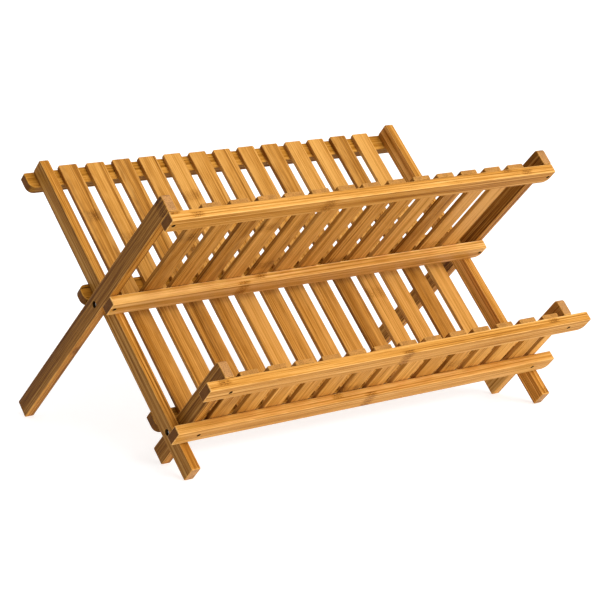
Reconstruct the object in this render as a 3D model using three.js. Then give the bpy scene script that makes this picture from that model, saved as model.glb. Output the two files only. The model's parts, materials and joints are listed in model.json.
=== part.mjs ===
// A folding two-tier dish drying rack made of bamboo bars and slats.
//
// Three slatted panels cross like a letter X with a short bar through its front foot:
//   main panel   runs from the front foot at the bottom up to the back at the top;
//   upper panel  crosses it at the upper pivot, and its rails carry on down as the back legs;
//   lower panel  is short, and crosses the main panel at the lower pivot, near the front foot.
// Plates stand on edge in the two troughs, held between the slats.
//
// Millimetres. X runs along the rack, Y to its back, Z up. The origin is on the surface that the
// rack stands on, at the centre of its bounding box.
//
// Each panel is drawn flat in a frame of its own: its pivot is the origin, X runs along the rack,
// Y up the panel, and Z out of its crossbar side for the upper and lower panels, out of its
// plate side for the main panel. Folded flat, the three frames have the same directions.

import * as THREE from 'three';

// Overall size and the stock that the bars are cut from
const RACK_WIDTH = 420;
const BAR_WIDTH = 16.7; // rails and crossbars are the same stock
const BAR_THICKNESS = 8.9;
const SLAT_WIDTH = 18.5;
const SLAT_THICKNESS = 4.2;
const SLAT_PITCH = 27.75;
const SLAT_COUNT = 13;

// Gaps between pieces that touch, or slide past each other, on the real rack
const JOINT_GAP = 0.3;
const SIDE_GAP = 0.4;

// How far the panels lean when the rack stands open, in degrees from the horizontal
const MAIN_LEAN = 44;
const UPPER_LEAN = 43.5;
const LOWER_LEAN = 45.5;

// Rail ends, measured along each rail from its pivot
const LONG_RAIL_ABOVE = 149; // main and upper panels, above the upper pivot
const MAIN_RAIL_BELOW = 174;
const UPPER_RAIL_BELOW = 175.5; // a little more lean needs a little more leg
const PIVOT_SPACING = 131.8; // upper pivot to lower pivot, along the main rail
const LOWER_RAIL_ABOVE = 91.8;
const LOWER_RAIL_BELOW = 41.2;
const MAIN_SLAT_OVERHANG = 1.2; // past the top crossbar of the main panel

// Lower edges of the crossbars, measured up each panel from its pivot
const UPPER_STOP_BAR = 9.4; // rests on the front of the main rails when open
const LOWER_STOP_BAR = 10.6;
const MAIN_MIDDLE_BAR = 10;
const MAIN_BOTTOM_BAR = 10 - PIVOT_SPACING;

// Corner radii of the crossbars, on their wide face
const EASED_CORNER = 6.5;
const SHARP_CORNER = 0.8;
const CORNER_STEPS = 5;

// Corner radii at the top of the rails, in side view. The upper and lower panels' rails are
// rounded at the back only, because a crossbar is flush with their top at the front.
const MAIN_RAIL_CORNERS = { back: 2, front: 2 };
const FRONT_RAIL_CORNERS = { back: 3, front: SHARP_CORNER };

// Pivots and screws
const PIVOT_HOLE_RADIUS = 3;
const PIN_RADIUS = 2.65;
const PIN_RECESS = 1.5; // below the outer face of the outer rail
const PIN_BEVEL = 0.6;
const SCREW_HOLE_RADIUS = 1.8;
const ROUND_STEPS = 24;

const UP_THE_PANEL = new THREE.Vector3(0, 1, 0);
const OUT_OF_THE_PANEL = new THREE.Vector3(0, 0, 1);
const ALONG_THE_RACK = new THREE.Vector3(1, 0, 0);

const bamboo = new THREE.MeshStandardMaterial({ color: 0xd0934a, roughness: 0.5, metalness: 0 });
const darkBamboo = new THREE.MeshStandardMaterial({ color: 0xb97b3a, roughness: 0.5, metalness: 0 });
const steel = new THREE.MeshStandardMaterial({ color: 0x8c8c8e, roughness: 0.3, metalness: 1 });

// Outer faces of each panel's rails: the upper panel's rails are the outermost pair, the main
// panel's come next, and the lower panel's are innermost.
const RAIL_STEP = BAR_THICKNESS + SIDE_GAP;
const UPPER_RAIL_OUTSIDE = RACK_WIDTH / 2;
const MAIN_RAIL_OUTSIDE = UPPER_RAIL_OUTSIDE - RAIL_STEP;
const LOWER_RAIL_OUTSIDE = MAIN_RAIL_OUTSIDE - RAIL_STEP;

function addPiece(panel, name, geometry, material) {
  const piece = new THREE.Mesh(geometry, material);
  piece.name = name;
  panel.add(piece);
  return piece;
}

function roundHole(x, y, radius) {
  const hole = new THREE.Path();
  hole.absarc(x, y, radius, 0, 2 * Math.PI, true);
  return hole;
}

// A rail: its side view, with a hole at each pivot, given its thickness along X.
function railGeometry(below, above, corners, pivots) {
  const { back, front } = corners;
  const half = BAR_WIDTH / 2;
  const side = new THREE.Shape();
  side.absarc(above - back, back - half, back, 1.5 * Math.PI, 2 * Math.PI);
  side.absarc(above - front, half - front, front, 0, 0.5 * Math.PI);
  side.lineTo(-below, half);
  side.lineTo(-below, -half);
  side.closePath();
  for (const pivot of pivots) {
    side.holes.push(roundHole(pivot, 0, PIVOT_HOLE_RADIUS));
  }
  const geometry = new THREE.ExtrudeGeometry(side, {
    depth: BAR_THICKNESS,
    bevelEnabled: false,
    curveSegments: ROUND_STEPS,
  });
  const turn = new THREE.Matrix4().makeBasis(UP_THE_PANEL, OUT_OF_THE_PANEL, ALONG_THE_RACK);
  return geometry.applyMatrix4(turn);
}

// A left and right rail whose outer faces are `outside` from the middle of the rack.
function addRails(panel, prefix, outside, below, above, corners, pivots) {
  const geometry = railGeometry(below, above, corners, pivots);
  const left = addPiece(panel, `${prefix}_rail_left`, geometry, darkBamboo);
  left.position.x = -outside;
  const right = addPiece(panel, `${prefix}_rail_right`, geometry.clone(), darkBamboo);
  right.position.x = outside - BAR_THICKNESS;
}

// A rectangle centred on x = 0 whose corners are rounded by the radii given.
function roundedBar(length, width, corners) {
  const end = length / 2;
  const bar = new THREE.Shape();
  bar.absarc(-end + corners.lowerLeft, corners.lowerLeft, corners.lowerLeft, Math.PI, 1.5 * Math.PI);
  bar.absarc(end - corners.lowerRight, corners.lowerRight, corners.lowerRight, 1.5 * Math.PI, 2 * Math.PI);
  bar.absarc(end - corners.upper, width - corners.upper, corners.upper, 0, 0.5 * Math.PI);
  bar.absarc(-end + corners.upper, width - corners.upper, corners.upper, 0.5 * Math.PI, Math.PI);
  bar.closePath();
  return bar;
}

// A crossbar: its wide face, with a screw hole over each rail, given its thickness out of the
// panel. `base` is how far up the panel its lower edge lies, `inner` its face nearest the rails.
function addCrossbar(panel, name, bar, base, inner) {
  const face = roundedBar(bar.length, bar.width, bar.corners);
  for (const x of [-bar.screwX, bar.screwX]) {
    face.holes.push(roundHole(x, bar.width / 2, SCREW_HOLE_RADIUS));
  }
  const geometry = new THREE.ExtrudeGeometry(face, {
    depth: bar.thickness,
    bevelEnabled: false,
    curveSegments: CORNER_STEPS,
  });
  const piece = addPiece(panel, name, geometry, bamboo);
  piece.position.set(0, base, inner);
}

// The row of slats of one panel, between two heights up the panel. `back` is the lower face.
function addSlats(panel, prefix, bottom, top, back) {
  const firstX = (-SLAT_PITCH * (SLAT_COUNT - 1)) / 2;
  for (let index = 0; index < SLAT_COUNT; index += 1) {
    const name = `${prefix}_slat_${String(index + 1).padStart(2, '0')}`;
    const geometry = new THREE.BoxGeometry(SLAT_WIDTH, top - bottom, SLAT_THICKNESS);
    const slat = addPiece(panel, name, geometry, bamboo);
    slat.position.set(firstX + index * SLAT_PITCH, (bottom + top) / 2, back + SLAT_THICKNESS / 2);
  }
}

// A steel pin lying along X, with bevelled ends, turned from its half section.
function pinGeometry(length) {
  const profile = [
    new THREE.Vector2(0, 0),
    new THREE.Vector2(PIN_RADIUS - PIN_BEVEL, 0),
    new THREE.Vector2(PIN_RADIUS, PIN_BEVEL),
    new THREE.Vector2(PIN_RADIUS, length - PIN_BEVEL),
    new THREE.Vector2(PIN_RADIUS - PIN_BEVEL, length),
    new THREE.Vector2(0, length),
  ];
  const geometry = new THREE.LatheGeometry(profile, ROUND_STEPS);
  return geometry.rotateZ(-Math.PI / 2);
}

// A pin at each end of the rack, through two rails that lie side by side.
function addPivotPins(panel, prefix, outside, height) {
  const length = BAR_THICKNESS + RAIL_STEP - 2 * PIN_RECESS;
  const starts = { left: PIN_RECESS - outside, right: outside - PIN_RECESS - length };
  for (const [side, start] of Object.entries(starts)) {
    const pin = addPiece(panel, `${prefix}_pivot_pin_${side}`, pinGeometry(length), steel);
    pin.position.set(start, height, 0);
  }
}

function buildMainPanel() {
  const panel = new THREE.Group();
  const outside = MAIN_RAIL_OUTSIDE;
  const pivots = [0, -PIVOT_SPACING];
  addRails(panel, 'main', outside, MAIN_RAIL_BELOW, LONG_RAIL_ABOVE, MAIN_RAIL_CORNERS, pivots);

  // The crossbars lie behind the rails. The upper two run the full width of the rack. The
  // bottom one stops at the outer faces of the rails, because the back legs fold past it.
  const wide = {
    length: RACK_WIDTH,
    width: BAR_WIDTH,
    thickness: BAR_THICKNESS,
    corners: { lowerLeft: EASED_CORNER, lowerRight: EASED_CORNER, upper: SHARP_CORNER },
    screwX: outside - BAR_THICKNESS / 2,
  };
  const middle = { ...wide, corners: { ...wide.corners, upper: EASED_CORNER } };
  const narrow = { ...wide, length: 2 * outside };
  const inner = -BAR_WIDTH / 2 - JOINT_GAP - BAR_THICKNESS;
  addCrossbar(panel, 'main_crossbar_top', wide, LONG_RAIL_ABOVE - BAR_WIDTH, inner);
  addCrossbar(panel, 'main_crossbar_middle', middle, MAIN_MIDDLE_BAR, inner);
  addCrossbar(panel, 'main_crossbar_bottom', narrow, MAIN_BOTTOM_BAR, inner);

  const slatTop = LONG_RAIL_ABOVE + MAIN_SLAT_OVERHANG;
  addSlats(panel, 'main', MAIN_BOTTOM_BAR, slatTop, -BAR_WIDTH / 2);
  addPivotPins(panel, 'upper', UPPER_RAIL_OUTSIDE, 0);
  addPivotPins(panel, 'lower', MAIN_RAIL_OUTSIDE, -PIVOT_SPACING);
  panel.rotation.x = THREE.MathUtils.degToRad(MAIN_LEAN);
  return panel;
}

// The upper and lower panels are alike: two rails, a crossbar flush with their tops, a second
// one just above the pivot that stops the panel when it opens, and slats behind the crossbars.
function buildFrontPanel(prefix, outside, below, above, stopBar, lean) {
  const panel = new THREE.Group();
  addRails(panel, prefix, outside, below, above, FRONT_RAIL_CORNERS, [0]);

  const bar = {
    length: RACK_WIDTH,
    width: BAR_WIDTH,
    thickness: BAR_THICKNESS,
    corners: { lowerLeft: SHARP_CORNER, lowerRight: EASED_CORNER, upper: SHARP_CORNER },
    screwX: outside - BAR_THICKNESS / 2,
  };
  const inner = BAR_WIDTH / 2 + JOINT_GAP;
  addCrossbar(panel, `${prefix}_crossbar_top`, bar, above - BAR_WIDTH, inner);
  addCrossbar(panel, `${prefix}_crossbar_stop`, bar, stopBar, inner);

  addSlats(panel, prefix, stopBar, above, BAR_WIDTH / 2 - SLAT_THICKNESS);
  panel.rotation.x = Math.PI - THREE.MathUtils.degToRad(lean);
  return panel;
}

function buildRack() {
  const rack = new THREE.Group();
  rack.add(buildMainPanel());

  rack.add(buildFrontPanel(
    'upper', UPPER_RAIL_OUTSIDE, UPPER_RAIL_BELOW, LONG_RAIL_ABOVE, UPPER_STOP_BAR, UPPER_LEAN,
  ));

  const lower = buildFrontPanel(
    'lower', LOWER_RAIL_OUTSIDE, LOWER_RAIL_BELOW, LOWER_RAIL_ABOVE, LOWER_STOP_BAR, LOWER_LEAN,
  );
  const lean = THREE.MathUtils.degToRad(MAIN_LEAN);
  lower.position.set(0, -PIVOT_SPACING * Math.cos(lean), -PIVOT_SPACING * Math.sin(lean));
  rack.add(lower);

  // Stand the rack on its feet, with the origin at the centre of its bounding box.
  rack.updateMatrixWorld(true);
  const box = new THREE.Box3().setFromObject(rack, true);
  const centre = box.getCenter(new THREE.Vector3());
  rack.position.set(-centre.x, -centre.y, -box.min.z);
  return rack;
}

export default buildRack();
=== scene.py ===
"""The looks of a folding two-tier bamboo dish drying rack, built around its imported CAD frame.

Every bamboo piece is rebuilt as a board with eased edges, drilled holes and its own grain. Boards
are measured from the CAD nodes that they replace, so they follow the frame if it changes. Lengths
are in metres, and colours are linear.
"""

import json
import math
import random
from functools import partial

import bmesh
import bpy
from mathutils import Matrix, Vector


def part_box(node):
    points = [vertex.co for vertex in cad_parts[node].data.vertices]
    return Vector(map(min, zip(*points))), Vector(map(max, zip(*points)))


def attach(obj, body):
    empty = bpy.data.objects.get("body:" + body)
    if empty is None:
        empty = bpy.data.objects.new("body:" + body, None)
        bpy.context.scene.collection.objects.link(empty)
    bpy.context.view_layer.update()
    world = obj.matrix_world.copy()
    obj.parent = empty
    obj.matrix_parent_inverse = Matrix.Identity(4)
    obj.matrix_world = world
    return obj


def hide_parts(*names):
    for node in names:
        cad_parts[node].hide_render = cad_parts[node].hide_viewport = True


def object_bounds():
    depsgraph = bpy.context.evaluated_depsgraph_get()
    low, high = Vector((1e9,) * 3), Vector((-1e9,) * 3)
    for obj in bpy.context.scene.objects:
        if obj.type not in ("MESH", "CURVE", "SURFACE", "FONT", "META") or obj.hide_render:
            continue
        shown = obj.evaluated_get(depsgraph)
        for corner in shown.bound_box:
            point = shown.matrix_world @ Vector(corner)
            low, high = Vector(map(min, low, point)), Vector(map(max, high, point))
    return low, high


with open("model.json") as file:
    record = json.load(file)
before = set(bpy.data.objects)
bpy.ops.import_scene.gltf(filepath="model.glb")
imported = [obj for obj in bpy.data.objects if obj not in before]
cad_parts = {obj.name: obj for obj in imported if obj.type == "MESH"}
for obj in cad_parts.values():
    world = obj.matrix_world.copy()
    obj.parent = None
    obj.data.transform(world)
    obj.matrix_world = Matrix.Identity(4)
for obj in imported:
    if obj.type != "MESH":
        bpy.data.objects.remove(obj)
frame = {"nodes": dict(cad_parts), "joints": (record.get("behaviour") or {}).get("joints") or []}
cad_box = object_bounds()

SEED = 41

# How the boards are worked
BAR_EASE = 0.0008  # rounding of the long edges of rails and crossbars
SLAT_EASE = 0.0005  # rounding of the long edges of slats
HOLE_LIP = 0.0003  # rounding of the rims of holes
EASE_STEPS = 3
CORNER_STEPS = 6
HOLE_STEPS = 32
LEAST_BEND = 0.1  # of a corner's radius is kept where easing moves the outline in past it
FLAT_FACE_WEIGHT = 100  # the strongest, so that wide faces shade flat up to their eased edges
PLAIN_CORNER = 0.0012  # corners of slats and feet, and of the square ends of crossbars
MAIN_RAIL_CORNER = 0.0021  # the top of a main rail, front and back
FRONT_RAIL_CORNER = 0.0031  # the top of any other rail, at the back only
EASED_CORNER = 0.0065  # the rounded corners of crossbars
PIVOT_HOLE_RADIUS = 0.003
SCREW_HOLE_RADIUS = 0.0018
SLAT_TRIM = 0.0011  # slats are cut shorter than the longest by up to this much, at each end
SLAT_DRIFT = 0.0003  # and sit off their even spacing by up to this much

# Bamboo stock, each from the colour of its darkest lines to that of its lightest wood
# The first stock is a darker copy for the main panel's crossbars, as painted shade for their place
# behind the slats
PAINTED_SHADE_STOCK = [
    (0.065, 0.02, 0.001, 1),
    (0.2, 0.074, 0.004, 1),
    (0.42, 0.17, 0.018, 1),
    (0.62, 0.3, 0.055, 1),
]
HONEY_STOCK = [
    (0.09, 0.026, 0.002, 1),
    (0.27, 0.097, 0.01, 1),
    (0.475, 0.2, 0.029, 1),
    (0.68, 0.345, 0.085, 1),
]
PALE_STOCK = [
    (0.13, 0.04, 0.004, 1),
    (0.36, 0.135, 0.015, 1),
    (0.62, 0.28, 0.05, 1),
    (0.88, 0.5, 0.165, 1),
]

# Colours of the cut ends; the crossbars' ends are darkened as painted shade
SLAT_END = (0.46, 0.21, 0.05)
SHADED_CROSSBAR_END = (0.13, 0.045, 0.005)
RAIL_END = (0.45, 0.22, 0.075)

# How light the stock of a board is: about 0 to 1. Some boards stand out from the rest.
PLAIN_TONE = (0.35, 0.75)
PALE_TONE = (0.9, 1.1)
DARK_TONE = (-0.05, 0.2)
PALE_BOARDS = {
    "main_slat_05", "main_slat_10", "main_slat_11", "main_slat_13",
    "upper_slat_06", "upper_slat_10", "upper_slat_12", "upper_slat_13", "upper_crossbar_stop",
    "lower_slat_08", "lower_slat_11", "lower_slat_12", "lower_rail_right",
}
DARK_BOARDS = {
    # the main panel's middle and bottom crossbars are dark as painted shade behind the slats
    "main_crossbar_middle", "main_crossbar_bottom",
    "main_slat_01", "main_slat_03", "main_slat_09", "main_slat_12",
    "upper_slat_01", "upper_slat_03", "upper_slat_11", "upper_rail_left", "upper_rail_right",
    "lower_slat_01", "lower_rail_left",
}

# Painted light and shade on each rail's wide faces, beside its narrow sides: the left rails' outer
# faces are drawn darker than the right rails' inner faces
RAIL_PAINTED_WIDE_SHADES = {
    "main_rail_left": 0.62,
    "main_rail_right": 1.12,
    "upper_rail_left": 0.58,
    "upper_rail_right": 0.7,
    "lower_rail_left": 0.62,
    "lower_rail_right": 0.74,
}

# Steel
# Both steels are darkened, the screws' nearly to black, as painted shade in their holes
PIN_STEEL = (0.22, 0.215, 0.21, 1)
SCREW_STEEL = (0.03, 0.027, 0.024, 1)
DULL_SHARE = 0.55  # of the steel's brightness is left in its dull patches
DULL_ROUGHNESS = 0.2  # which they add to the steel's own
DULL_EDGE = (0.4, 0.7)
PATCHES_PER_METRE = 1800.0
STEEL_RELIEF_DEPTH = 0.00003
STEEL_RELIEF_STRENGTH = 0.25
SHARP_ANGLE = 35.0  # degrees; sharper edges than this shade as edges
PIN_DOME_HEIGHT = 0.0011
PIN_DOME_RINGS = 6
PIN_STEPS = 40
SCREW_HEAD_RADIUS = 0.00165
SCREW_HEAD_RECESS = 0.0016  # below the face of the crossbar
SCREW_HEAD_HEIGHT = 0.0012
SCREW_RIM_SHARE = 0.25  # of the head's height is straight, above its cone
SCREW_HEAD_RINGS = 8
SCREW_SHANK_RADIUS = 0.0009
SCREW_THREAD_RADIUS = 0.0013
SCREW_THREAD_PITCH = 0.0011
SCREW_BITE = 0.011  # into the rail behind the crossbar
SCREW_SLOT_HALF_WIDTH = 0.0003
SCREW_SLOT_REACH = 0.0011
SCREW_SLOT_DEPTH = 0.0007
SCREW_STEPS = 24

# The strips that the stock is glued up from
STRIP_WIDTH = 0.0058
STRIP_THICKNESS = 0.0052

# Marks in the grain of laminated bamboo: the size of each, (across, along) the grain
BROAD_STREAK = (0.0024, 0.4)
STREAK = (0.0011, 0.2)
FIBRE = (0.00024, 0.024)
DARK_LINE = (0.0009, 0.16)
VESSEL = (0.0011, 0.021)
CURL = (0.0017, 0.0026)
EDGE_PATCH = (0.004, 0.02)
CUT_DOT = (0.00085, 0.00085)

# Where each mark fades in: the values of its pattern at which it is absent and full
DARK_LINE_EDGE = (0.62, 0.7)
VESSEL_EDGE = (0.24, 0.08)
CURL_EDGE = (0.08, 0.01)
EDGE_PATCH_EDGE = (0.35, 0.65)
CUT_DOT_EDGE = (0.42, 0.22)
NOISE_RANGE = (0.3, 0.7)  # of nearly all the values of a noise
WALL_EDGE = (0.2, 0.9)  # of narrow sides, and of the walls of holes
END_GRAIN_EDGE = (0.55, 0.9)

# How much the marks lighten and darken the wood, and how much others only darken it
MIDDLE_LIGHTNESS = 0.64
MARK_WEIGHTS = {"strips": 0.16, "broad streaks": 0.8, "streaks": 1.25, "fibres": 0.6}
MARK_DEPTHS = {"dark lines": 0.26, "vessels": 0.16, "knuckles": 0.55}
HOLE_SHADE = 0.12  # painted shade in drilled holes: their walls are darkened against the wood round them
CUT_DOT_SHADE = 0.5
CUT_LAYER_SHADES = (0.85, 1.1)  # the darkest and lightest strips of a cut end
EDGE_WEAR_AND_HIGHLIGHT = (0.3, 0.8)  # how far the eased edges go to the lightest wood, at least and at most: wear and a painted highlight

# The relief that marks add to that of the streaks, and the satin varnish
MARK_RELIEF = {"fibres": 0.5, "vessels": -0.4, "knuckles": 0.4}
RELIEF_DEPTH = 0.00012
RELIEF_STRENGTH = 0.5
VARNISH_ROUGHNESS = (0.55, 0.4)  # over dark streaks and over light ones
VARNISH_SPECULAR = 0.04
COAT_WEIGHT = 0.015
COAT_ROUGHNESS = 0.28

# Knuckles of the cane, where a strip had one
KNUCKLE_SPACING = 0.36
KNUCKLE_HALF_LENGTH = 0.008
KNUCKLE_WANDER = 0.006
KNUCKLE_CORE = 0.3  # of the half length is at full strength, for the curls and for the ridge
BETWEEN_CURLS = 0.25  # how strong the figure is between its curls
RIDGE_HALF_LENGTH = 0.0007
RIDGE_STRENGTH = 0.6

# The view: its direction from the rack, and where it is centred, measured from the upper pivot
CAMERA_AZIMUTH = -37.53
CAMERA_ELEVATION = 12.71
CAMERA_ROLL = 0.31
CAMERA_DISTANCE = 1.866
CENTRE_RIGHT = 0.0071
CENTRE_UP = -0.0234
CAMERA_LENS = 123.8
SENSOR_WIDTH = 36.0

# Studio
FLOOR_SIZE = 24.0
FLOOR_GREY = 0.5
FLOOR_GLOW = 0.72
FLOOR_ROUGHNESS = 0.9
FLOOR_SPECULAR = 0.1
SUN_STRENGTH = 2.4
SUN_SOFTNESS = 50.0  # degrees across
FRONT_FILL_SHARE = 0.45  # of the sun's strength
BACK_FILL_SHARE = 0.08
HORIZON_GREY = 0.2
SKY_GREY = 0.5
HORIZON_TOP = 10.0  # degrees up, where the horizon's grey ends
SKY_START = 25.0  # degrees up, where the sky's grey starts

ACROSS = Vector((1, 0, 0))


# ---------------------------------------------------------------- measuring the frame


def up_the_panel(panel):
    """Unit vector up a panel: from the lower end of one of its slats to the upper end."""
    slat = frame["nodes"][f"{panel}_slat_01"]
    corners = sorted((vertex.co for vertex in slat.data.vertices), key=lambda co: co.z)
    half = len(corners) // 2
    low = sum(corners[:half], Vector()) / half
    high = sum(corners[half:], Vector()) / half
    return (high - low).normalized()


def reach(node, axis):
    """How far a CAD node reaches along an axis, from the frame's origin."""
    distances = [vertex.co.dot(axis) for vertex in frame["nodes"][node].data.vertices]
    return min(distances), max(distances)


class Board:
    """The box of a CAD node along its grain, across its width and through its thickness."""

    def __init__(self, node, grain, width, thickness):
        self.axes = (grain, width, thickness)
        spans = [reach(node, axis) for axis in self.axes]
        self.half = [(high - low) / 2 for low, high in spans]
        middles = [(high + low) / 2 * axis for (low, high), axis in zip(spans, self.axes)]
        self.centre = sum(middles, Vector())

    def place(self):
        """The matrix that takes board coordinates into the rack's frame."""
        matrix = Matrix(self.axes).transposed().to_4x4()
        matrix.translation = self.centre
        return matrix

    def on_face(self, point):
        """Where a point of the rack's frame falls on the board's wide face."""
        offset = point - self.centre
        return offset.dot(self.axes[0]), offset.dot(self.axes[1])


def joint_position(name):
    joint = next(j for j in frame["joints"] if j["name"] == name)
    return Vector(joint["pos_m"])


# ---------------------------------------------------------------- board meshes


def outline_ring(half_length, half_width, radii, inset):
    """Points round a board's outline, moved in by `inset`, each with the share of end grain that
    shows there and how far round a small corner it is."""
    points = []
    signs = [(1, 1), (-1, 1), (-1, -1), (1, -1)]
    for quarter, ((along, across), radius) in enumerate(zip(signs, radii)):
        small = radius <= PLAIN_CORNER
        bend = max(radius - inset, radius * LEAST_BEND)
        middle_l = along * (half_length - inset - bend)
        middle_w = across * (half_width - inset - bend)
        for step in range(CORNER_STEPS + 1):
            turn = step / CORNER_STEPS
            angle = (quarter + turn) * math.pi / 2
            point = (middle_l + bend * math.cos(angle), middle_w + bend * math.sin(angle))
            corner_wear_and_highlight = math.sin(math.pi * turn) if small else 0.0
            points.append((point, abs(math.cos(angle)), corner_wear_and_highlight))
    return points


def hole_ring(centre, radius, widen):
    """Points round a hole, in the form that outline_ring gives them."""
    points = []
    for step in range(HOLE_STEPS):
        angle = 2 * math.pi * step / HOLE_STEPS
        point = (
            centre[0] + (radius + widen) * math.cos(angle),
            centre[1] + (radius + widen) * math.sin(angle),
        )
        points.append((point, abs(math.cos(angle)), 0.0))
    return points


def eased_levels(half_thickness, ease):
    """(inset, height, turn, wear_and_highlight) of each ring from one wide face of a board to the
    other, where turn is 0 on the wide faces and 1 on the narrow side between them, and
    wear_and_highlight marks the eased edges for wear and a painted highlight."""
    rounding = []
    for step in range(EASE_STEPS + 1):
        turn = step / EASE_STEPS
        angle = turn * math.pi / 2
        inset = ease * (1 - math.sin(angle))
        height = -half_thickness + ease * (1 - math.cos(angle))
        rounding.append((inset, height, turn, math.sin(2 * angle)))
    mirrored = [(inset, -height, turn, wear_and_highlight) for inset, height, turn, wear_and_highlight in reversed(rounding)]
    return rounding + mirrored


def add_wall(mesh, levels, ring_at, drilled, notes):
    """Rings of vertices joined by quads. `ring_at` gives the points of a ring from its inset, and
    `notes` takes each vertex's attributes. Returns the first and last ring."""
    rings = []
    for inset, height, turn, wear_and_highlight in levels:
        ring = []
        for point, end_grain, corner_wear_and_highlight in ring_at(inset):
            vertex = mesh.verts.new((*point, height))
            notes[vertex] = (end_grain * turn, turn, max(wear_and_highlight, corner_wear_and_highlight)), drilled * turn
            ring.append(vertex)
        rings.append(ring)
    for lower, upper in zip(rings, rings[1:]):
        for index, corner in enumerate(lower):
            after = (index + 1) % len(lower)
            mesh.faces.new((corner, lower[after], upper[after], upper[index]))
    return rings[0], rings[-1]


def add_cap(mesh, loops):
    """A flat face inside the first loop and outside the others."""
    if len(loops) == 1:
        mesh.faces.new(loops[0])
        return
    edges = []
    for loop in loops:
        for index, vertex in enumerate(loop):
            edges.append(mesh.edges.get((vertex, loop[(index + 1) % len(loop)])))
    bmesh.ops.triangle_fill(mesh, edges=edges, use_beauty=True)


def board_mesh(name, half, radii, holes, ease, board_tone, draw):
    """A board with eased edges. `holes` lists (centre, radius). Its attributes carry the grain:
    `grain` is (across, along, through) with an offset of its own, `end_side_edge` is (end grain,
    narrow side, edge wear and painted edge highlight), `drilled` is 1 on the walls of holes, and
    `tone` is how light the board is. The narrow side takes painted light and shade, and the walls of
    holes painted shade."""
    mesh = bmesh.new()
    grain = mesh.verts.layers.float_vector.new("grain")
    end_side_edge = mesh.verts.layers.float_vector.new("end_side_edge")
    drilled = mesh.verts.layers.float.new("drilled")
    tone = mesh.verts.layers.float.new("tone")
    notes = {}
    levels = eased_levels(half[2], ease)
    outline = partial(outline_ring, half[0], half[1], radii)
    walls = [add_wall(mesh, levels, outline, 0.0, notes)]
    lip_levels = eased_levels(half[2], HOLE_LIP)
    for centre, radius in holes:
        hole = partial(hole_ring, centre, radius)
        walls.append(add_wall(mesh, lip_levels, hole, 1.0, notes))
    for face_loops in zip(*walls):
        add_cap(mesh, face_loops)
    bmesh.ops.recalc_face_normals(mesh, faces=mesh.faces)

    offset = Vector([draw.uniform(-1, 1) for _ in range(3)])
    for vertex in mesh.verts:
        vertex[grain] = Vector((vertex.co.y, vertex.co.x, vertex.co.z)) + offset
        vertex[end_side_edge], vertex[drilled] = notes[vertex]
        vertex[tone] = board_tone
    for face in mesh.faces:
        face.smooth = True
    data = bpy.data.meshes.new(name)
    mesh.to_mesh(data)
    mesh.free()
    return data


def add_piece(name, data, matrix, material, body):
    """A piece with its place in its mesh, so that its box is measured along the rack's own axes."""
    data.transform(matrix)
    piece = bpy.data.objects.new(name, data)
    bpy.context.scene.collection.objects.link(piece)
    data.materials.append(material)
    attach(piece, body)
    return piece


def stock_tone(node, draw):
    """How light a board's stock is, within the range of its kind."""
    if node in PALE_BOARDS:
        return draw.uniform(*PALE_TONE)
    if node in DARK_BOARDS:
        return draw.uniform(*DARK_TONE)
    return draw.uniform(*PLAIN_TONE)


def add_board(node, board, radii, holes, ease, look, draw):
    """A board in place of its CAD node. `look` is its material, its body and its slot; the slot is
    not used.
    """
    tone = stock_tone(node, draw)
    data = board_mesh(f"{node}_board", board.half, radii, holes, ease, tone, draw)
    material, body, slot = look
    piece = add_piece(f"{node}_board", data, board.place(), material, body)
    weighted = piece.modifiers.new("flat faces stay flat", "WEIGHTED_NORMAL")
    weighted.weight = FLAT_FACE_WEIGHT
    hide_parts(node)
    return piece


# ---------------------------------------------------------------- the three panels


def rail_corners(panel):
    """Radii in the order top front, bottom front, bottom back, top back."""
    if panel == "main":
        return [MAIN_RAIL_CORNER, PLAIN_CORNER, PLAIN_CORNER, MAIN_RAIL_CORNER]
    return [PLAIN_CORNER, PLAIN_CORNER, PLAIN_CORNER, FRONT_RAIL_CORNER]


def build_rails(panel, out, pivots, looks, draw):
    up = up_the_panel(panel)
    for side in ("left", "right"):
        node = f"{panel}_rail_{side}"
        board = Board(node, up, out, ACROSS)
        holes = [(board.on_face(pivot), PIVOT_HOLE_RADIUS) for pivot in pivots]
        look = (looks[node], f"{panel}_panel", "rail_bamboo")
        add_board(node, board, rail_corners(panel), holes, BAR_EASE, look, draw)


def crossbar_corners(panel, bar):
    """Radii in the order upper right, upper left, lower left, lower right."""
    upper = EASED_CORNER if (panel, bar) == ("main", "middle") else PLAIN_CORNER
    lower_left = EASED_CORNER if panel == "main" else PLAIN_CORNER
    return [upper, upper, lower_left, EASED_CORNER]


def build_crossbars(panel, bars, out, material, screw_steel, draw):
    """The crossbars of a panel, each with a screw into the middle of each rail."""
    up = up_the_panel(panel)
    for bar in bars:
        node = f"{panel}_crossbar_{bar}"
        board = Board(node, ACROSS, up, out)
        rail_middles = []
        for side in ("left", "right"):
            low, high = reach(f"{panel}_rail_{side}", ACROSS)
            rail_middles.append((low + high) / 2)
        holes = [((middle, 0.0), SCREW_HOLE_RADIUS) for middle in rail_middles]
        look = (material, f"{panel}_panel", "crossbar_bamboo")
        add_board(node, board, crossbar_corners(panel, bar), holes, BAR_EASE, look, draw)
        outward = -1 if panel == "main" else 1
        for side, middle in zip(("left", "right"), rail_middles):
            name = f"{node}_screw_{side}"
            add_screw(name, board, middle, outward, screw_steel, f"{panel}_panel")


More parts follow.
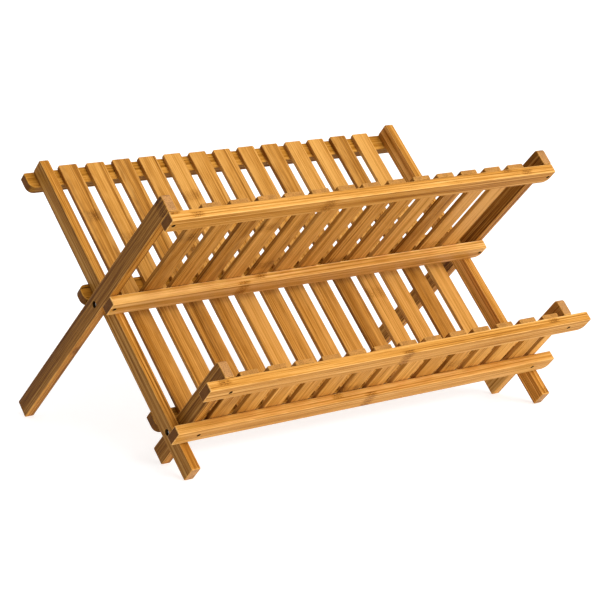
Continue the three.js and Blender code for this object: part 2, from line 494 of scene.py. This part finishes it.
def build_slats(panel, out, material, draw):
    """The slats of a panel, each trimmed and placed by hand, so a little uneven."""
    up = up_the_panel(panel)
    names = [node for node in sorted(frame["nodes"]) if node.startswith(f"{panel}_slat_")]
    for node in names:
        board = Board(node, up, -ACROSS, out)
        top_trim = draw.uniform(0, SLAT_TRIM)
        bottom_trim = draw.uniform(0, SLAT_TRIM)
        board.half[0] -= (top_trim + bottom_trim) / 2
        board.centre += up * (bottom_trim - top_trim) / 2
        board.centre += ACROSS * draw.uniform(-SLAT_DRIFT, SLAT_DRIFT)
        look = (material, f"{panel}_panel", "slat_bamboo")
        add_board(node, board, [PLAIN_CORNER] * 4, [], SLAT_EASE, look, draw)


def build_panel(panel, bars, pivots, looks, draw):
    """A whole panel. `looks` holds the materials, the rails' by the names of their nodes."""
    out = ACROSS.cross(up_the_panel(panel))
    build_rails(panel, out, pivots, looks, draw)
    # the main panel's crossbars sit behind its slats and take a darker copy of the bamboo, as
    # painted shade
    crossbar = looks["shaded_back_crossbar" if panel == "main" else "crossbar"]
    build_crossbars(panel, bars, out, crossbar, looks["screw"], draw)
    build_slats(panel, out, looks["slat"], draw)


# ---------------------------------------------------------------- steel


def lathe(name, profile, steps):
    """A body turned about Z from (radius, height) pairs, the first and last on the axis."""
    mesh = bmesh.new()
    first = mesh.verts.new((0, 0, profile[0][1]))
    last = mesh.verts.new((0, 0, profile[-1][1]))
    rings = []
    for radius, height in profile[1:-1]:
        ring = []
        for step in range(steps):
            angle = 2 * math.pi * step / steps
            ring.append(mesh.verts.new((radius * math.cos(angle), radius * math.sin(angle), height)))
        rings.append(ring)
    for index in range(steps):
        after = (index + 1) % steps
        mesh.faces.new((first, rings[0][index], rings[0][after]))
        mesh.faces.new((last, rings[-1][after], rings[-1][index]))
        for lower, upper in zip(rings, rings[1:]):
            mesh.faces.new((lower[index], upper[index], upper[after], lower[after]))
    bmesh.ops.recalc_face_normals(mesh, faces=mesh.faces)
    for face in mesh.faces:
        face.smooth = True
    data = bpy.data.meshes.new(name)
    mesh.to_mesh(data)
    mesh.free()
    data.set_sharp_from_angle(angle=math.radians(SHARP_ANGLE))
    return data


def domed_end(radius, height):
    """(radius, height) pairs from the middle of a pin's domed end out to its side."""
    profile = []
    for ring in range(PIN_DOME_RINGS + 1):
        angle = ring / PIN_DOME_RINGS * math.pi / 2
        profile.append((radius * math.sin(angle), height - PIN_DOME_HEIGHT * (1 - math.cos(angle))))
    return profile


def build_pins(pin_steel):
    """The pivot pins: rods with domed ends."""
    turned = Matrix.Rotation(math.pi / 2, 4, "Y")
    for node in sorted(frame["nodes"]):
        if "_pivot_pin_" not in node:
            continue
        low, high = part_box(node)
        end = domed_end((high.z - low.z) / 2, (high.x - low.x) / 2)
        other_end = [(distance, -height) for distance, height in reversed(end)]
        data = lathe(f"{node}_turned", end + other_end, PIN_STEPS)
        matrix = Matrix.Translation((low + high) / 2) @ turned
        pin = add_piece(f"{node}_turned", data, matrix, pin_steel, "main_panel")
        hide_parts(node)


def screw_profile(grip):
    """Half section of a wood screw, down from the edge of its head. `grip` is the length from the
    top of the head to the inner face of the crossbar."""
    profile = [
        (SCREW_HEAD_RADIUS, 0),
        (SCREW_HEAD_RADIUS, -SCREW_HEAD_HEIGHT * SCREW_RIM_SHARE),
        (SCREW_SHANK_RADIUS, -SCREW_HEAD_HEIGHT),
        (SCREW_SHANK_RADIUS, -grip / 2),
    ]
    depth = grip / 2
    while depth < grip + SCREW_BITE - SCREW_THREAD_PITCH:
        profile.append((SCREW_THREAD_RADIUS, -depth - SCREW_THREAD_PITCH * 0.5))
        profile.append((SCREW_SHANK_RADIUS, -depth - SCREW_THREAD_PITCH))
        depth += SCREW_THREAD_PITCH
    return profile + [(0, -grip - SCREW_BITE)]


def in_cross_slot(x, y):
    narrow = min(abs(x), abs(y)) <= SCREW_SLOT_HALF_WIDTH
    return narrow and max(abs(x), abs(y)) <= SCREW_SLOT_REACH


def add_screw(name, board, middle, outward, screw_steel, body):
    """A screw through a crossbar into the rail behind it, its head sunk below the face."""
    grip = 2 * board.half[2] - SCREW_HEAD_RECESS
    rings = range(SCREW_HEAD_RINGS - 1, 0, -1)
    face = [(SCREW_HEAD_RADIUS * (1 - ring / SCREW_HEAD_RINGS), 0) for ring in rings]
    profile = [(0, 0)] + face + screw_profile(grip)
    data = lathe(name, profile, SCREW_STEPS)
    for vertex in data.vertices:
        if vertex.co.z == 0 and in_cross_slot(vertex.co.x, vertex.co.y):
            vertex.co.z = -SCREW_SLOT_DEPTH
    direction = board.axes[2] * outward
    head = board.centre + ACROSS * middle + direction * (board.half[2] - SCREW_HEAD_RECESS)
    matrix = direction.to_track_quat("Z", "Y").to_matrix().to_4x4()
    matrix.translation = head
    add_piece(name, data, matrix, screw_steel, body)


# ---------------------------------------------------------------- materials


class Graph:
    """Adds nodes to a material, and returns the output socket of each."""

    def __init__(self, name):
        self.material = bpy.data.materials.new(name)
        self.material.use_nodes = True
        self.tree = self.material.node_tree
        self.shader = self.tree.nodes["Principled BSDF"]

    def join(self, value, socket):
        if isinstance(value, bpy.types.NodeSocket):
            self.tree.links.new(value, socket)
        else:
            socket.default_value = value

    def math(self, operation, *values):
        node = self.tree.nodes.new("ShaderNodeMath")
        node.operation = operation
        for value, socket in zip(values, node.inputs):
            self.join(value, socket)
        return node.outputs[0]

    def total(self, start, terms):
        """`start` plus each term, which is (value, weight) with its value measured from a half."""
        result = start
        for value, weight in terms:
            result = self.math("MULTIPLY_ADD", self.math("SUBTRACT", value, 0.5), weight, result)
        return result

    def ramp(self, value, start, end, low=0.0, high=1.0):
        """A smooth step from `low` at start to `high` at end."""
        node = self.tree.nodes.new("ShaderNodeMapRange")
        node.interpolation_type = "SMOOTHSTEP"
        for item, socket in zip((value, start, end, low, high), node.inputs):
            self.join(item, socket)
        return node.outputs[0]

    def mix(self, factor, first, second):
        """A mix of two colours, whose sockets are found by number, as their names aren't unique."""
        node = self.tree.nodes.new("ShaderNodeMix")
        node.data_type = "RGBA"
        self.join(factor, node.inputs["Factor"])
        self.join(first, node.inputs[6])
        self.join(second, node.inputs[7])
        return node.outputs[2]

    def palette(self, value, colours):
        """Colours spread evenly over the values from 0 to 1."""
        node = self.tree.nodes.new("ShaderNodeValToRGB")
        stops = node.color_ramp.elements
        while len(stops) < len(colours):
            stops.new(0.5)
        for index, colour in enumerate(colours):
            stops[index].position = index / (len(colours) - 1)
            stops[index].color = colour
        self.join(value, node.inputs[0])
        return node.outputs[0]

    def scale(self, vector, factor):
        node = self.tree.nodes.new("ShaderNodeVectorMath")
        node.operation = "SCALE"
        self.join(vector, node.inputs[0])
        self.join(factor, node.inputs["Scale"])
        return node.outputs[0]

    def attribute(self, name, output):
        node = self.tree.nodes.new("ShaderNodeAttribute")
        node.attribute_name = name
        return node.outputs[output]

    def split(self, vector):
        node = self.tree.nodes.new("ShaderNodeSeparateXYZ")
        self.tree.links.new(vector, node.inputs[0])
        return node.outputs

    def combine(self, x, y, z):
        node = self.tree.nodes.new("ShaderNodeCombineXYZ")
        for value, socket in zip((x, y, z), node.inputs):
            self.join(value, socket)
        return node.outputs[0]

    def noise(self, vector, detail=2.0, roughness=0.5, distortion=0.0):
        node = self.tree.nodes.new("ShaderNodeTexNoise")
        self.join(vector, node.inputs["Vector"])
        node.inputs["Scale"].default_value = 1.0
        node.inputs["Detail"].default_value = detail
        node.inputs["Roughness"].default_value = roughness
        node.inputs["Distortion"].default_value = distortion
        return node.outputs["Fac"]

    def cells(self, vector):
        """Distance to the nearest point of a scatter with about one point per unit."""
        node = self.tree.nodes.new("ShaderNodeTexVoronoi")
        self.join(vector, node.inputs["Vector"])
        node.inputs["Scale"].default_value = 1.0
        return node.outputs["Distance"]

    def random(self, vector):
        """A random value from 0 to 1 for each whole vector."""
        node = self.tree.nodes.new("ShaderNodeTexWhiteNoise")
        node.noise_dimensions = "3D"
        self.join(vector, node.inputs["Vector"])
        return node.outputs["Value"]

    def bump(self, height, distance, strength):
        """Relief in the material, where a height of 1 is `distance` metres."""
        node = self.tree.nodes.new("ShaderNodeBump")
        node.inputs["Distance"].default_value = distance
        node.inputs["Strength"].default_value = strength
        self.join(height, node.inputs["Height"])
        self.tree.links.new(node.outputs[0], self.shader.inputs["Normal"])


def stretched(graph, grain, size):
    """Grain coordinates in units of a mark's size, which is (across, along) the grain."""
    across, along = size
    return graph.combine(
        graph.math("DIVIDE", grain[0], across),
        graph.math("DIVIDE", grain[1], along),
        graph.math("DIVIDE", grain[2], across),
    )


def knuckle_marks(graph, grain, ply_tone):
    """The curly dark figure at each knuckle, round a thin ridge across the ply."""
    phase = graph.math("MULTIPLY", ply_tone, KNUCKLE_SPACING)
    wander = graph.noise(stretched(graph, grain, BROAD_STREAK), detail=1)
    shifted = graph.math("MULTIPLY_ADD", wander, KNUCKLE_WANDER, graph.math("ADD", grain[1], phase))
    along = graph.math("WRAP", shifted, KNUCKLE_SPACING / 2, -KNUCKLE_SPACING / 2)
    distance = graph.math("ABSOLUTE", along)
    near = graph.ramp(distance, KNUCKLE_HALF_LENGTH, KNUCKLE_HALF_LENGTH * KNUCKLE_CORE)
    curls = graph.noise(stretched(graph, grain, CURL), detail=2, roughness=0.6, distortion=1.2)
    contour = graph.math("ABSOLUTE", graph.math("SUBTRACT", curls, 0.5))
    curly = graph.ramp(contour, *CURL_EDGE, low=BETWEEN_CURLS)
    figure = graph.math("MULTIPLY", near, curly)
    across = graph.ramp(distance, RIDGE_HALF_LENGTH, RIDGE_HALF_LENGTH * KNUCKLE_CORE)
    ridge = graph.math("MULTIPLY", across, RIDGE_STRENGTH)
    return graph.math("MAXIMUM", figure, ridge)


def grain_marks(graph, grain, tone):
    """The pattern of each kind of mark, from 0 to 1."""
    strip_w = graph.math("FLOOR", graph.math("DIVIDE", grain[0], STRIP_WIDTH))
    strip_t = graph.math("FLOOR", graph.math("DIVIDE", grain[2], STRIP_THICKNESS))
    ply_tone = graph.random(graph.combine(0.0, strip_t, tone))
    lines = graph.noise(stretched(graph, grain, DARK_LINE), detail=1)
    vessels = graph.cells(stretched(graph, grain, VESSEL))
    return {
        "strips": graph.random(graph.combine(strip_w, strip_t, tone)),
        "broad streaks": graph.noise(stretched(graph, grain, BROAD_STREAK), detail=3),
        "streaks": graph.noise(stretched(graph, grain, STREAK), detail=4, roughness=0.62),
        "fibres": graph.noise(stretched(graph, grain, FIBRE), detail=2),
        "dark lines": graph.ramp(lines, *DARK_LINE_EDGE),
        "vessels": graph.ramp(vessels, *VESSEL_EDGE),
        "knuckles": knuckle_marks(graph, grain, ply_tone),
    }


def wood_colour(graph, colours, marks, tone, tone_spread, figure):
    """The colour of the wood along its grain, before its painted light and shade, cut ends, worn and
    highlighted edges and the painted shade in its holes.
    """
    terms = [(tone, tone_spread)]
    for mark, weight in MARK_WEIGHTS.items():
        terms.append((marks[mark], weight * figure))
    lightness = graph.total(MIDDLE_LIGHTNESS, terms)
    for mark, depth in MARK_DEPTHS.items():
        lightness = graph.math("MULTIPLY_ADD", marks[mark], -depth, lightness)
    return graph.palette(lightness, colours)


def cut_end_colour(graph, cut_end, grain, strips):
    """Cut ends show the vessels as dots, in strips of their own lightness."""
    cells = graph.cells(stretched(graph, grain, CUT_DOT))
    dots = graph.ramp(cells, *CUT_DOT_EDGE, 1.0, CUT_DOT_SHADE)
    layers = graph.math("MULTIPLY", dots, graph.ramp(strips, 0.0, 1.0, *CUT_LAYER_SHADES))
    return graph.scale(cut_end, layers)


def wear_and_highlight_share(graph, grain, wear_and_highlight):
    """How far the eased edges are lightened to the lightest wood, unevenly: partly wear, partly a
    painted highlight along the edges.
    """
    patches = graph.noise(stretched(graph, grain, EDGE_PATCH), detail=2)
    return graph.math("MULTIPLY", wear_and_highlight, graph.ramp(patches, *EDGE_PATCH_EDGE, *EDGE_WEAR_AND_HIGHLIGHT))


def satin_varnish(graph, marks):
    """A satin varnish that lets a little of the grain's relief through."""
    shader = graph.shader
    roughness = graph.ramp(marks["streaks"], *NOISE_RANGE, *VARNISH_ROUGHNESS)
    graph.join(roughness, shader.inputs["Roughness"])
    shader.inputs["Specular IOR Level"].default_value = VARNISH_SPECULAR
    shader.inputs["Coat Weight"].default_value = COAT_WEIGHT
    shader.inputs["Coat Roughness"].default_value = COAT_ROUGHNESS
    relief = marks["streaks"]
    for mark, height in MARK_RELIEF.items():
        relief = graph.math("MULTIPLY_ADD", marks[mark], height, relief)
    graph.bump(relief, RELIEF_DEPTH, RELIEF_STRENGTH)


def bamboo(name, colours, cut_end, tone_spread, figure=1.0, painted_wide_shade=1.0, painted_narrow_shade=1.0):
    """Laminated bamboo: glued strips, each with its own tone, fibre streaks, short dark vessels, and
    a curly knuckle wherever a strip had one. `colours` run from the darkest lines to the lightest
    wood, and `cut_end` is the colour of the ends. `tone_spread` is how far a board's own tone shows,
    `figure` is how strongly the marks do, and the painted shades scale its wide faces and narrow
    sides, as painted light and shade for how the light falls on each kind of face."""
    graph = Graph(name)
    grain = graph.split(graph.attribute("grain", "Vector"))
    end_grain, narrow, wear_and_highlight = graph.split(graph.attribute("end_side_edge", "Vector"))
    drilled = graph.attribute("drilled", "Fac")
    tone = graph.attribute("tone", "Fac")
    marks = grain_marks(graph, grain, tone)

    colour = wood_colour(graph, colours, marks, tone, tone_spread, figure)
    # painted light and shade: wide faces and narrow sides are scaled apart for how the light falls
    # on them
    colour = graph.scale(colour, graph.ramp(narrow, *WALL_EDGE, painted_wide_shade, painted_narrow_shade))
    cut = cut_end_colour(graph, cut_end, grain, marks["strips"])
    colour = graph.mix(graph.ramp(end_grain, *END_GRAIN_EDGE), colour, cut)
    # edges lightened: partly wear, partly a painted highlight along the eased edges
    colour = graph.mix(wear_and_highlight_share(graph, grain, wear_and_highlight), colour, colours[-1])
    # painted shade in the holes: their walls darkened
    colour = graph.scale(colour, graph.ramp(drilled, *WALL_EDGE, 1.0, HOLE_SHADE))
    graph.join(colour, graph.shader.inputs["Base Color"])
    satin_varnish(graph, marks)
    return graph.material


def steel(name, colour, roughness):
    """Steel with a finely uneven surface and dull patches."""
    graph = Graph(name)
    coordinates = graph.tree.nodes.new("ShaderNodeTexCoord").outputs["Object"]
    patches = graph.noise(graph.scale(coordinates, PATCHES_PER_METRE), detail=3, roughness=0.6)
    dull = [channel * DULL_SHARE for channel in colour[:3]] + [1.0]
    mottled = graph.mix(graph.ramp(patches, *DULL_EDGE), colour, dull)
    graph.join(mottled, graph.shader.inputs["Base Color"])
    rough = graph.ramp(patches, *NOISE_RANGE, roughness, roughness + DULL_ROUGHNESS)
    graph.join(rough, graph.shader.inputs["Roughness"])
    graph.shader.inputs["Metallic"].default_value = 1.0
    graph.bump(patches, STEEL_RELIEF_DEPTH, STEEL_RELIEF_STRENGTH)
    return graph.material


# ---------------------------------------------------------------- studio


def build_camera():
    towards_camera = towards(CAMERA_AZIMUTH, CAMERA_ELEVATION)
    level_right = (-towards_camera).cross(Vector((0, 0, 1))).normalized()
    roll = Matrix.Rotation(math.radians(CAMERA_ROLL), 3, towards_camera)
    right = roll @ level_right
    up = towards_camera.cross(right)
    camera = bpy.data.objects.new("camera", bpy.data.cameras.new("camera"))
    camera.data.lens = CAMERA_LENS
    camera.data.sensor_width = SENSOR_WIDTH
    centre = joint_position("upper_fold") + right * CENTRE_RIGHT + up * CENTRE_UP
    matrix = Matrix((right, up, towards_camera)).transposed().to_4x4()
    matrix.translation = centre + towards_camera * CAMERA_DISTANCE
    camera.matrix_world = matrix
    bpy.context.scene.collection.objects.link(camera)
    bpy.context.scene.camera = camera


def build_floor():
    bpy.ops.mesh.primitive_plane_add(size=FLOOR_SIZE, location=(0, 0, cad_box[0].z))
    floor = bpy.context.active_object
    floor.name = "floor"
    graph = Graph("pale_floor")
    graph.shader.inputs["Base Color"].default_value = (FLOOR_GREY, FLOOR_GREY, FLOOR_GREY, 1)
    graph.shader.inputs["Roughness"].default_value = FLOOR_ROUGHNESS
    graph.shader.inputs["Specular IOR Level"].default_value = FLOOR_SPECULAR
    graph.shader.inputs["Emission Color"].default_value = (1, 1, 1, 1)
    graph.shader.inputs["Emission Strength"].default_value = FLOOR_GLOW
    floor.data.materials.append(graph.material)


def towards(azimuth, elevation):
    """Unit vector out from the rack: azimuth 0 is its front, 90 its right."""
    level = math.cos(math.radians(elevation))
    return Vector((
        math.sin(math.radians(azimuth)) * level,
        -math.cos(math.radians(azimuth)) * level,
        math.sin(math.radians(elevation)),
    ))


def add_soft_light(name, azimuth, elevation, strength):
    """A broad distant light, which lights the floor evenly all the way back."""
    light = bpy.data.lights.new(name, "SUN")
    light.energy = strength
    light.angle = math.radians(SUN_SOFTNESS)
    lamp = bpy.data.objects.new(name, light)
    lamp.rotation_mode = "QUATERNION"
    lamp.rotation_quaternion = towards(azimuth, elevation).to_track_quat("Z", "Y")
    bpy.context.scene.collection.objects.link(lamp)


def build_world():
    """A pale band at the horizon under a dim sky."""
    world = bpy.data.worlds.new("studio")
    world.use_nodes = True
    tree = world.node_tree
    direction = tree.nodes.new("ShaderNodeTexCoord").outputs["Generated"]
    split = tree.nodes.new("ShaderNodeSeparateXYZ")
    band = tree.nodes.new("ShaderNodeMapRange")
    band.inputs["From Min"].default_value = math.sin(math.radians(HORIZON_TOP))
    band.inputs["From Max"].default_value = math.sin(math.radians(SKY_START))
    band.inputs["To Min"].default_value = HORIZON_GREY
    band.inputs["To Max"].default_value = SKY_GREY
    tree.links.new(direction, split.inputs[0])
    tree.links.new(split.outputs["Z"], band.inputs["Value"])
    tree.links.new(band.outputs[0], tree.nodes["Background"].inputs["Color"])
    bpy.context.scene.world = world


def build_studio():
    bpy.context.scene.view_settings.view_transform = "Standard"
    build_world()
    add_soft_light("key", azimuth=15, elevation=42, strength=SUN_STRENGTH)
    front_fill = SUN_STRENGTH * FRONT_FILL_SHARE
    add_soft_light("front_fill", azimuth=10, elevation=6, strength=front_fill)
    back_fill = SUN_STRENGTH * BACK_FILL_SHARE
    add_soft_light("back_fill", azimuth=165, elevation=55, strength=back_fill)
    build_floor()
    build_camera()


# ---------------------------------------------------------------- the rack


def make_looks():
    """The materials, by kind of piece; every rail has one of its own, by the name of its node, for
    the painted light and shade on its wide faces.
    """
    looks = {
        # Painted shade darkens the slats' narrow sides and the crossbars' wide faces; painted light
        # brightens the rails' narrow sides
        "slat": bamboo(
            "slat_bamboo", HONEY_STOCK, SLAT_END,
            tone_spread=0.4, figure=1.15, painted_narrow_shade=0.85,
        ),
        "crossbar": bamboo(
            "crossbar_bamboo", PALE_STOCK, SHADED_CROSSBAR_END,
            tone_spread=0.3, figure=1.1, painted_wide_shade=0.84,
        ),
        # painted shade: darker stock and darker narrow sides for the main panel's crossbars behind
        # the slats
        "shaded_back_crossbar": bamboo(
            "back_crossbar_bamboo", PAINTED_SHADE_STOCK, SHADED_CROSSBAR_END,
            tone_spread=0.45, painted_narrow_shade=0.5,
        ),
        "screw": steel("screw_steel", SCREW_STEEL, roughness=0.45),
        "pin": steel("pin_steel", PIN_STEEL, roughness=0.16),
    }
    for rail, painted_wide_shade in RAIL_PAINTED_WIDE_SHADES.items():
        looks[rail] = bamboo(
            f"{rail}_bamboo", HONEY_STOCK, RAIL_END,
            tone_spread=0.6, figure=1.6, painted_wide_shade=painted_wide_shade, painted_narrow_shade=1.08,
        )
    return looks


def build_rack():
    draw = random.Random(SEED)
    looks = make_looks()
    upper_pivot = joint_position("upper_fold")
    lower_pivot = joint_position("lower_fold")
    build_panel("main", ("top", "middle", "bottom"), [upper_pivot, lower_pivot], looks, draw)
    build_panel("upper", ("top", "stop"), [upper_pivot], looks, draw)
    build_panel("lower", ("top", "stop"), [lower_pivot], looks, draw)
    build_pins(looks["pin"])


build_rack()
build_studio()

bpy.context.view_layer.update()
